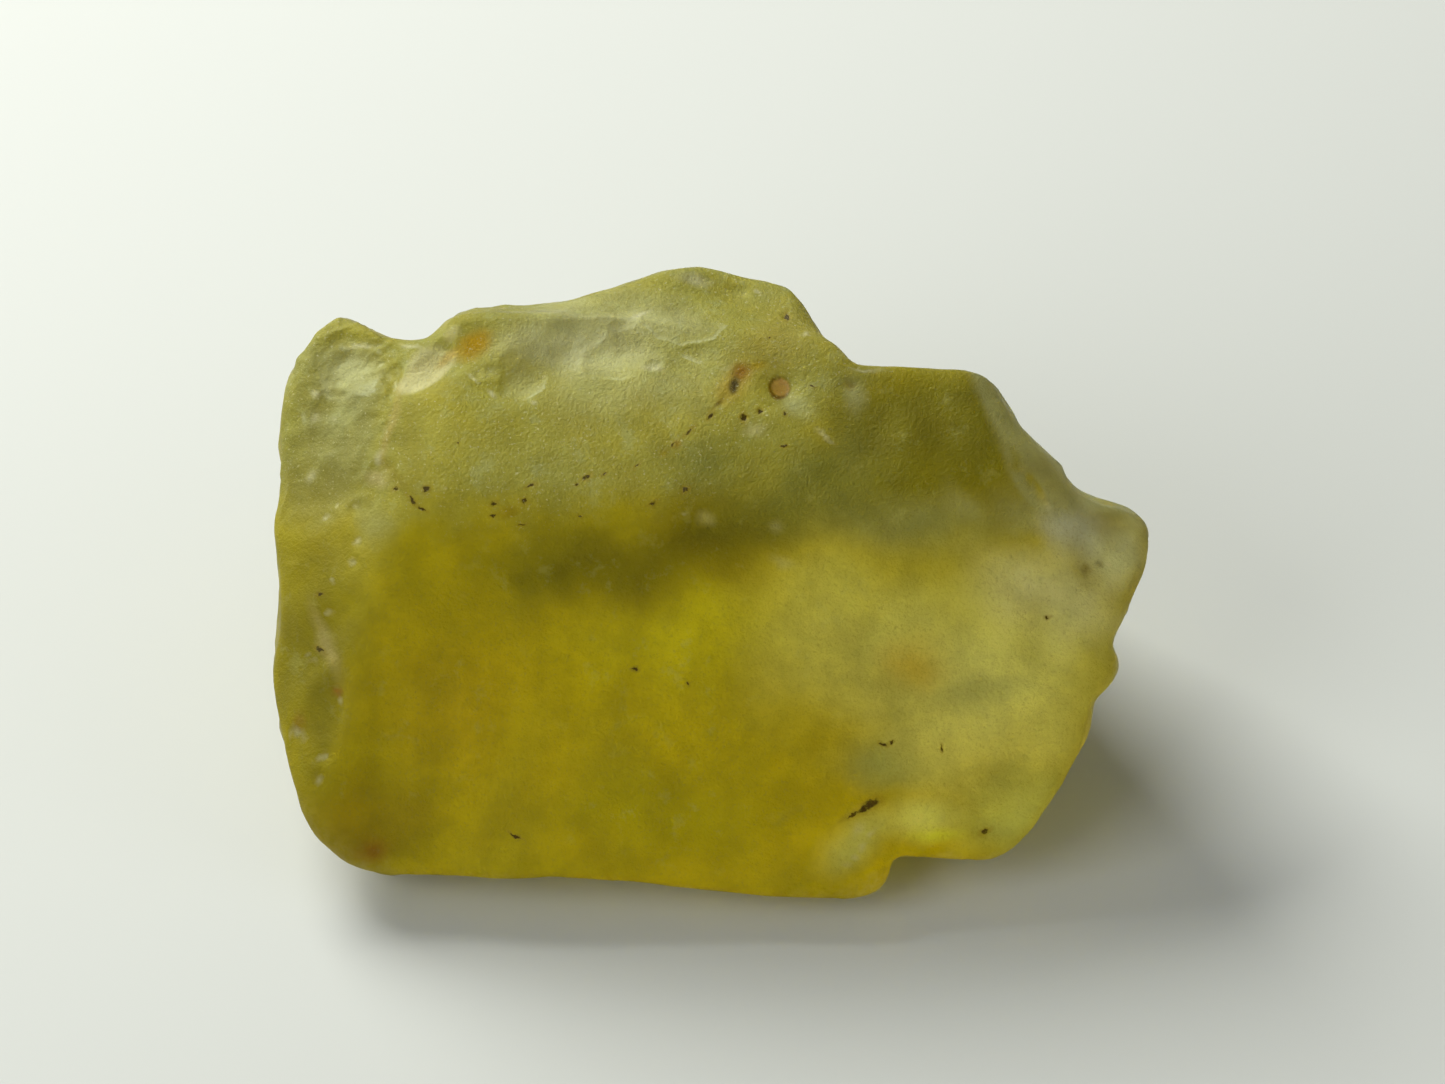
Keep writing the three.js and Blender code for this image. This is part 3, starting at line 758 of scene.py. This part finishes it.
# %% Put the skin back into its object
skin.to_mesh(stone_mesh)
skin.free()
stone_mesh.polygons.foreach_set("use_smooth", [True] * len(stone_mesh.polygons))
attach(stone, "root")
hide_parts("desert_glass")
print("stone:", len(stone_mesh.polygons), "faces")

# %% [markdown]
# ## Shader maths as sums
#
# A material is a net of nodes, and most of them only add or multiply. A small class that holds one
# output lets us write those as ordinary sums: the sum adds the nodes. Everything else goes through
# one method that takes a node's type, its settings and its inputs.


# %% A wire that knows arithmetic
class Wire:
    """One output of a shader node. Sums with it add the nodes that do the sum."""

    def __init__(self, tree, socket=None):
        self.tree, self.socket = tree, socket

    def node(self, kind, settings=None, inputs=None, output=0):
        made = self.tree.nodes.new(kind)
        for name, value in (settings or {}).items():
            setattr(made, name, value)
        for key, value in (inputs or {}).items():
            if isinstance(value, Wire):
                self.tree.links.new(value.socket, made.inputs[key])
            else:
                made.inputs[key].default_value = value
        return Wire(self.tree, made.outputs[output] if made.outputs else None)

    def math(self, operation, *others):
        return self.node("ShaderNodeMath", {"operation": operation}, dict(enumerate((self, *others))))

    def __add__(self, other):
        return self.math("ADD", other)

    def __mul__(self, other):
        return self.math("MULTIPLY", other)

    def __sub__(self, other):
        return self.math("SUBTRACT", other)

    def __rsub__(self, other):
        return (self * -1.0) + other

    __radd__, __rmul__ = __add__, __mul__

    def ramp(self, low, high, start=0.0, end=1.0):
        """A soft S from start, where this wire is low, to end, where it is high."""
        settings = {"interpolation_type": "SMOOTHSTEP"}
        return self.node("ShaderNodeMapRange", settings, {0: self, 1: low, 2: high, 3: start, 4: end})

    def paint(self, under, over):
        """Colour over laid on colour under, as thick as this wire says."""
        settings = {"data_type": "RGBA", "blend_type": "MIX", "clamp_factor": True}
        return self.node("ShaderNodeMix", settings, {0: self, 6: under, 7: over}, 2)

    def vector(self, operation, *others, output=0):
        inputs = dict(enumerate((self, *others)))
        return self.node("ShaderNodeVectorMath", {"operation": operation}, inputs, output)

    def noise(self, scale, detail, rough, output=0):
        inputs = {"Vector": self, "Scale": scale, "Detail": detail, "Roughness": rough}
        return self.node("ShaderNodeTexNoise", None, inputs, output)


glass = bpy.data.materials.new("desert_glass")
glass.use_nodes = True
glass.node_tree.nodes.clear()
start = Wire(glass.node_tree)
print("an empty net for:", glass.name)

# %% [markdown]
# ## The same plane, in the material
#
# A Mapping node set to Texture takes away a place and a turn. Given the best side's, it turns Object
# coordinates into the same millimetres across and up that the marks used, so a speck can be put where
# it belongs. The facing mask keeps the specks off the back, which has the same places across and up.
# Two noises bend the place, so that no ellipse drawn on it has a smooth rim.

# %% Place and facing for the material
coordinates = start.node("ShaderNodeTexCoord", output=3)
place = start.node("ShaderNodeMapping", {"vector_type": "TEXTURE"}, {
    0: coordinates, 1: SIT, 2: (math.radians(90) - LEAN, 0, 0), 3: (MM, MM, MM)})
normal = start.node("ShaderNodeTexCoord", output=1)
facing = normal.vector("DOT_PRODUCT", OUT, output=1)
front = facing.ramp(0.02, 0.3)
edge = start.node("ShaderNodeAttribute", {"attribute_name": "edge"}, output=2)
HALF = (0.5, 0.5, 0.5)
wander = place.noise(0.9, 3, 0.6, output=1).vector("SUBTRACT", HALF)
ragged = wander.vector("MULTIPLY_ADD", HALF, place)
tatter = place.noise(4.0, 2, 0.6, output=1).vector("SUBTRACT", HALF)
tattered = tatter.vector("MULTIPLY_ADD", (0.3, 0.3, 0.3), ragged)
turned = {}  # the tattered place turned by so many degrees, made once for each turn


def from_ellipse(across, up, wide, tall, turn):
    """How far out a place is, counted from an ellipse's middle: 1 on its rim."""
    if turn not in turned:
        turned[turn] = start.node("ShaderNodeMapping", {"vector_type": "TEXTURE"}, {
            0: tattered, 2: (0, 0, math.radians(turn))})
    cos, sin = math.cos(math.radians(turn)), math.sin(math.radians(turn))
    shrink = (1 / wide, 1 / tall, 0)
    shift = (-(across * cos + up * sin) / wide, -(up * cos - across * sin) / tall, 0)
    return turned[turn].vector("MULTIPLY_ADD", shrink, shift).vector("LENGTH", output=1)


def from_any(ellipses, grow):
    """How far out a place is from the nearest of many ellipses, each made larger by grow."""
    nearest = None
    for across, up, long, wide, turn in ellipses:
        distance = from_ellipse(across, up, long * grow, wide * grow, turn)
        nearest = distance if nearest is None else nearest.math("MINIMUM", distance)
    return nearest


print("nodes that find the place:", len(glass.node_tree.nodes))

# %% [markdown]
# ## The colour of the glass
#
# The yellow comes from a trace of iron. Most of it is in the depth, where the absorption below puts
# it. The skin adds the rest: gold and olive drift into each other in clouds, upper faces are hazed by
# frost and by a painted reflection of the light from above, edges are rubbed paler, the hollows of
# the break are painted whitish as a painted highlight, and the back is a plainer olive.

# %% Gold, olive, frost and painted reflection, worn edges and lit hollows
GOLD = (0.64, 0.52, 0.002, 1)
OLIVE = (0.5, 0.43, 0.006, 1)
BACK = (0.44, 0.4, 0.06, 1)
FROST_AND_REFLECTION = (0.43, 0.455, 0.13, 1)
WORN = (0.68, 0.66, 0.34, 1)
LIT_HOLLOW = (0.68, 0.72, 0.36, 1)

clouds = place.noise(0.16, 3, 0.55).ramp(0.38, 0.64)
tone = clouds.paint(GOLD, OLIVE)
frost_and_reflection = start.node("ShaderNodeAttribute", {"attribute_name": "frost_and_reflection"}, output=2)
# painted reflection: the haze is partly frost and partly the light from above, laid pale where the frost
# number is high
haze = frost_and_reflection * place.noise(0.35, 4, 0.6).ramp(0.25, 0.7, 0.6, 1.0)
tone = (haze * 0.8).paint(tone, FROST_AND_REFLECTION)
rubbed = edge.ramp(0.04, 0.2) * place.noise(2.2, 3, 0.6).ramp(0.35, 0.65, 0.2, 1.0)
tone = (rubbed * 0.6).paint(tone, WORN)
# painted highlight: the hollows of the break are painted whitish, as the light that they catch
hollow = edge.ramp(-0.12, -0.03, 1.0, 0.0) * front
tone = (hollow * 0.5).paint(tone, LIT_HOLLOW)
behind = 1.0 - front
tone = (behind * 0.8).paint(tone, BACK)
print("nodes so far:", len(glass.node_tree.nodes))

# %% [markdown]
# ## Mottling, and the painted tints and light
#
# Where the frost and the painted reflection lie, and on the back, the haze is patchy: one noise lays
# pale patches where it is high and dark ones where it is low. Then the tints and the painted light and
# shade laid on the points go over it, with the same patches once more but weaker, and a last slow
# cloud makes the whole skin a little lighter or darker.

# %% Mottle, tints and painted light
FROST_PALE = (0.56, 0.62, 0.3, 1)
FROST_DARK = (0.35, 0.34, 0.05, 1)
TINT_PALE = (0.8, 0.84, 0.3, 1)
TINT_DARK = (0.3, 0.27, 0.03, 1)

mottle = place.noise(0.9, 5, 0.7)
uneven = haze.math("MAXIMUM", behind * 0.5)
tone = (mottle.ramp(0.52, 0.66, 0.0, 0.5) * uneven).paint(tone, FROST_PALE)
tone = (mottle.ramp(0.47, 0.34, 0.0, 0.5) * uneven).paint(tone, FROST_DARK)

# the tints laid on the points, with their painted shade, glow, reflection and highlights
painted = start.node("ShaderNodeAttribute", {"attribute_name": "tint_and_light"}, output=0)
thickness = start.node("ShaderNodeAttribute", {"attribute_name": "tint_and_light"}, output=3)
tone = thickness.paint(tone, painted)
tone = (mottle.ramp(0.55, 0.7, 0.0, 0.22) * thickness).paint(tone, TINT_PALE)
tone = (mottle.ramp(0.45, 0.3, 0.0, 0.22) * thickness).paint(tone, TINT_DARK)

cloudy = place.noise(0.55, 4, 0.6).ramp(0.3, 0.7, 0.84, 1.14)
tone = tone.vector("MULTIPLY", cloudy)
print("nodes so far:", len(glass.node_tree.nodes))

# %% [markdown]
# ## Specks
#
# Dark grains of a burnt mineral sit in the glass, most of them in a line that runs up across the lump,
# and one long one low on the right. Most are smaller than a triangle, so they can't be painted on
# points. The material draws them as small ragged ellipses that share one dark brown, in a faint halo.

# %% Dark specks
SPECKS = [  # across, up, half length, half width, turn
    (6.3, -9.15, 0.42, 0.13, 30), (5.75, -9.45, 0.3, 0.07, 32), (6.6, -8.95, 0.3, 0.15, 20),
    (6.97, -6.48, 0.17, 0.06, -20), (7.33, -6.43, 0.09, 0.06, 50), (9.42, -6.64, 0.05, 0.09, 0),
    (11.2, -10.2, 0.2, 0.1, 30), (13.8, -1.35, 0.1, 0.07, 20),
    (-8.07, -10.25, 0.22, 0.04, -35), (-13.0, 4.0, 0.12, 0.07, 40), (-12.3, 3.5, 0.18, 0.07, -40),
    (-11.9, 3.2, 0.15, 0.06, -30), (-11.65, 3.95, 0.1, 0.13, 0), (-7.45, 4.1, 0.22, 0.07, 20),
    (-7.75, 3.4, 0.12, 0.09, 0), (-8.9, 3.4, 0.15, 0.07, 20), (-8.95, 2.9, 0.13, 0.05, 30),
    (-5.12, 4.5, 0.16, 0.09, 20), (-5.5, 4.2, 0.1, 0.04, 30), (-4.45, 4.6, 0.06, 0.05, 0),
    (-3.1, 5.0, 0.13, 0.05, 45), (-1.55, 5.8, 0.09, 0.05, 40), (-0.95, 6.3, 0.2, 0.06, 55),
    (-2.45, 3.4, 0.15, 0.08, 20), (-1.1, 4.0, 0.12, 0.08, 50), (1.35, 6.89, 0.12, 0.17, -10),
    (2.0, 7.2, 0.1, 0.1, 0), (3.05, 11.15, 0.07, 0.15, -5), (3.0, 7.1, 0.06, 0.07, 0),
    (4.2, 8.2, 0.09, 0.04, 0), (2.95, 5.7, 0.1, 0.06, 0), (-0.1, 7.0, 0.09, 0.16, -30),
    (-16.2, -0.4, 0.07, 0.06, 0), (-16.15, -2.6, 0.2, 0.08, -35), (-3.1, -3.4, 0.12, 0.05, 10),
    (-1.0, -4.0, 0.06, 0.07, 0), (-10.4, 5.9, 0.05, 0.05, 0), (2.4, 10.2, 0.05, 0.05, 0),
    (-7.8, 2.5, 0.12, 0.05, 0), (-5.4, 2.9, 0.1, 0.04, 0),
]
HALO = (0.36, 0.24, 0.02, 1)
BURNT = (0.03, 0.015, 0.004, 1)
from_speck = from_any(SPECKS, grow=1.1)
tone = (from_speck.ramp(0.9, 2.4, 0.5, 0.0) * front).paint(tone, HALO)
tone = (from_speck.ramp(0.6, 1.1, 1.0, 0.0) * front).paint(tone, BURNT)
print("specks:", len(SPECKS))

# %% [markdown]
# ## Grain and shine
#
# Sand-blasting leaves the skin matt, but not evenly: open faces are the dullest, and the hollows of
# chips keep some shine, which a thin coat adds. The back has that coat too. The finest grain is
# smaller than our triangles, so it goes into the colour and into a Bump node. Its pale specks on the
# frost are partly fine frosting and partly painted glints.

# %% Roughness, coat and grain
GRAIN_AND_GLINT = (0.85, 0.86, 0.62, 1)
GRAIN_DARK = (0.3, 0.26, 0.02, 1)

fine = place.noise(7.5, 2, 0.7)
# painted glints: the pale specks of the grain on the frost are partly fine frosting and partly painted
# sparkle
tone = (fine.ramp(0.6, 0.74) * frost_and_reflection * 0.75).paint(tone, GRAIN_AND_GLINT)
tone = fine.ramp(0.46, 0.3, 0.0, 0.26).paint(tone, GRAIN_DARK)
dull = place.noise(0.5, 4, 0.6).ramp(0.3, 0.7, 0.5, 0.66) - hollow * 0.12
sheen = behind * 0.28 + hollow * 0.3
grain = place.noise(5.5, 3, 0.72)
GRAIN_HEIGHT = 0.08 * MM
bump = start.node("ShaderNodeBump", None, {"Strength": 1.0, "Distance": GRAIN_HEIGHT, "Height": grain})
print("grain's height, mm:", GRAIN_HEIGHT / MM)

# %% [markdown]
# ## Glass
#
# The body is plain glass: transmission, the index of the real thing, and an absorption that takes
# blue and leaves yellow. The frosted skin scatters part of the light before it gets in, so the
# transmission is not full. Its gleam is tinted yellow as well, because light that glances off rough
# glass has been through a little of it. The density counts per metre, so a thing this small needs
# hundreds.

# %% Put the glass together
GLEAM = (1.0, 0.93, 0.35, 1)
DEPTH_COLOUR = (0.974, 0.957, 0.1, 1)

surface = start.node("ShaderNodeBsdfPrincipled", None, {
    "Base Color": tone, "Roughness": dull, "IOR": 1.46, "Transmission Weight": 0.65, "Normal": bump,
    "Specular IOR Level": 0.06, "Specular Tint": GLEAM, "Coat Weight": sheen, "Coat Roughness": 0.38})
inside = start.node("ShaderNodeVolumeAbsorption", None, {"Color": DEPTH_COLOUR, "Density": 400})
start.node("ShaderNodeOutputMaterial", None, {"Surface": surface, "Volume": inside})
stone_mesh.materials.append(glass)
print("nodes in the glass:", len(glass.node_tree.nodes))

# %% [markdown]
# ## Floor
#
# The stone rests on a plain pale sheet. It only sets the stage, so it isn't part of the stone. It lies
# a hair below the stone, because two faces in one place flicker.

# %% A pale floor
FLOOR_HALF = 0.6  # metres
GAP = 0.02 * MM

floor_mesh = bpy.data.meshes.new("floor")
floor_bm = bmesh.new()
bmesh.ops.create_grid(floor_bm, x_segments=1, y_segments=1, size=FLOOR_HALF)
bmesh.ops.translate(floor_bm, verts=floor_bm.verts, vec=(0, 0, -GAP))
floor_bm.to_mesh(floor_mesh)
floor_bm.free()
floor = bpy.data.objects.new("floor", floor_mesh)
bpy.context.scene.collection.objects.link(floor)
paper = bpy.data.materials.new("pale_floor")
paper.use_nodes = True
paper_inputs = paper.node_tree.nodes["Principled BSDF"].inputs
paper_inputs["Base Color"].default_value = (0.6, 0.6, 0.58, 1)
paper_inputs["Roughness"].default_value = 0.8
floor_mesh.materials.append(paper)
print("floor:", 2 * FLOOR_HALF, "m wide")

# %% [markdown]
# ## Light
#
# A window behind the left shoulder of the stone gives the crown its light, and shines into the glass
# so that the face glows. A large weak light in front fills the face, and a faint one reaches the right
# end. Area lights are used because their shadows are soft.


# %% Window, fill and side light
STONE_HEART = (0, 0, 0.008)


def soft_light(name, place, target, size, watts, colour):
    """A rectangular light at a place, turned to a target. Sizes and places are in metres."""
    lamp = bpy.data.lights.new(name, "AREA")
    lamp.shape = "RECTANGLE"
    lamp.size, lamp.size_y = size
    lamp.energy = watts
    lamp.color = colour
    holder = bpy.data.objects.new(name, lamp)
    holder.location = place
    holder.rotation_euler = (Vector(target) - Vector(place)).to_track_quat("-Z", "Y").to_euler()
    bpy.context.scene.collection.objects.link(holder)


soft_light("window", (-0.15, 0.2, 0.2), STONE_HEART, (0.2, 0.14), 1.43, (0.97, 1.0, 0.93))
soft_light("fill", (-0.3, -0.22, 0.22), STONE_HEART, (0.3, 0.3), 0.945, (0.96, 1.0, 0.95))
soft_light("side", (0.3, -0.12, 0.16), STONE_HEART, (0.2, 0.2), 0.12, (0.95, 1.0, 0.92))
world = bpy.data.worlds.new("room")
world.use_nodes = True
room_inputs = world.node_tree.nodes["Background"].inputs
room_inputs["Color"].default_value = (0.75, 0.78, 0.8, 1)
room_inputs["Strength"].default_value = 0.2
bpy.context.scene.world = world
bpy.context.scene.view_settings.view_transform = "Standard"

# %% [markdown]
# ## Camera
#
# The camera looks straight at the best side, square to its lean, from far off through a long lens, so
# that near and far parts keep their true sizes. It aims a little above the middle of the side.

# %% A long lens, square to the best side
EYE_DISTANCE = 0.4  # metres

lens = bpy.data.cameras.new("camera")
lens.sensor_width = 36
lens.lens = 243.2  # the stone fills three fifths of the picture's width
lens.clip_start = 0.01
eye = bpy.data.objects.new("camera", lens)
aim = on_best_side(0.43, 1.8)
eye.location = aim + OUT * EYE_DISTANCE
eye.rotation_euler = (-OUT).to_track_quat("-Z", "Y").to_euler()
bpy.context.scene.collection.objects.link(eye)
bpy.context.scene.camera = eye
print("the camera's height, mm:", round(eye.location.z / MM))
